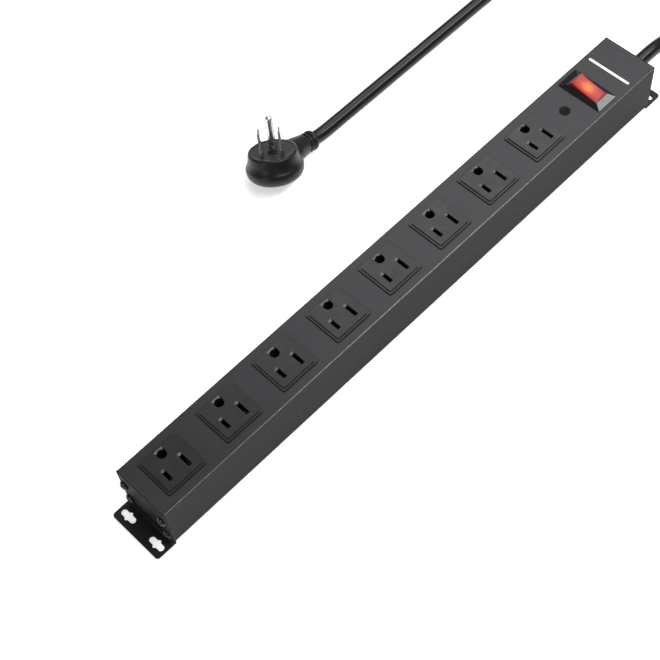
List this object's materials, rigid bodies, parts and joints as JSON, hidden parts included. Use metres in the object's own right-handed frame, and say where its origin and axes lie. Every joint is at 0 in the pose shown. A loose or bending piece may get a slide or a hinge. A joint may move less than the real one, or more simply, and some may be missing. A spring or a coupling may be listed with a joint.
{
  "type": "surface-mount power strip",
  "caption": "Black metal power strip with a row of grounded outlets, lighted rocker switch, reset button, slotted end flanges and a flat-plug cord.",
  "frame": {"origin": "centre of the casing's underside, midway between the end brackets, in the mounting plane", "axes": "+X along the strip to the cord end, +Y to the side of the ground holes, +Z out of the outlet face"},
  "size_m": [0.7616, 0.1553, 0.0433],
  "materials": {
    "casing": "fine satin black coating on extruded aluminium",
    "bracket": "satin black powder coat on steel sheet",
    "screw": "black zinc on steel, worn bright at the recess",
    "outlet": "moulded, fine satin",
    "insulator": "moulded, off-white",
    "brass": "stamped strip",
    "copper": "stamped copper alloy",
    "ground_screw": "green passivated steel",
    "switch_black": "glossy moulding",
    "rocker_red": "translucent, lit from inside",
    "lamp_glass": "neon lamp",
    "spring_steel": "drawn wire",
    "nylon": "moulded, fine matte",
    "cord": "smooth extruded jacket",
    "wire_black": "extruded insulation",
    "wire_white": "extruded insulation",
    "wire_green": "extruded insulation",
    "plug": "soft satin moulding",
    "blade_metal": "nickel-plated brass"
  },
  "bodies": {
    "strip": {"upper_extrusion": "casing", "lower_extrusion": "casing", "near_end_bracket": "bracket", "far_end_bracket": "bracket", "near_end_screws": "screw", "far_end_screws": "screw", "outlet_1": "outlet", "outlet_2": "outlet", "outlet_3": "outlet", "outlet_4": "outlet", "outlet_5": "outlet", "outlet_6": "outlet", "outlet_7": "outlet", "outlet_8": "outlet", "bus_carrier": "insulator", "hot_bus": "brass", "neutral_bus": "brass", "ground_bus": "brass", "bond_strap": "brass", "bond_screw": "ground_screw", "switch_housing": "switch_black", "switch_line_terminal": "brass", "switch_load_terminal": "brass", "switch_lamp_terminal": "brass", "breaker_housing": "nylon", "button_spring": "spring_steel", "breaker_bimetal": "copper", "breaker_terminals": "brass", "strain_relief": "nylon", "power_cord": "cord", "hot_wire": "wire_black", "neutral_wire": "wire_white", "ground_wire": "wire_green", "switch_wire": "wire_black", "breaker_wire": "wire_black", "lamp_wire": "wire_white", "plug_body": "plug", "plug_core": "insulator", "plug_hot_blade": "blade_metal", "plug_neutral_blade": "blade_metal", "plug_ground_pin": "blade_metal"},
    "rocker": {"switch_rocker": "rocker_red", "switch_lamp": "lamp_glass", "switch_plunger": "insulator", "switch_spring": "spring_steel"},
    "contact_arm": {"switch_contact_arm": "copper"},
    "reset_button": {"reset_button": "nylon"}
  },
  "joints": [
    {"name": "rocker_hinge", "type": "hinge", "parent": "strip", "child": "rocker", "pos_m": [0.1617, 0, 0.0356], "axis": [1, 0, 0], "range_deg": [-20, 0]},
    {"name": "contact_hinge", "type": "hinge", "parent": "strip", "child": "contact_arm", "pos_m": [0.1617, 0, 0.0206], "axis": [1, 0, 0], "range_deg": [0, 15]},
    {"name": "reset_slide", "type": "slide", "parent": "strip", "child": "reset_button", "axis": [0, 0, 1], "range_m": [-0.0008, 0.0025], "deforming": ["button_spring"]}
  ],
  "couplings": [
    {"joint": "contact_hinge", "follows": "rocker_hinge", "ratio": -0.75}
  ]
}
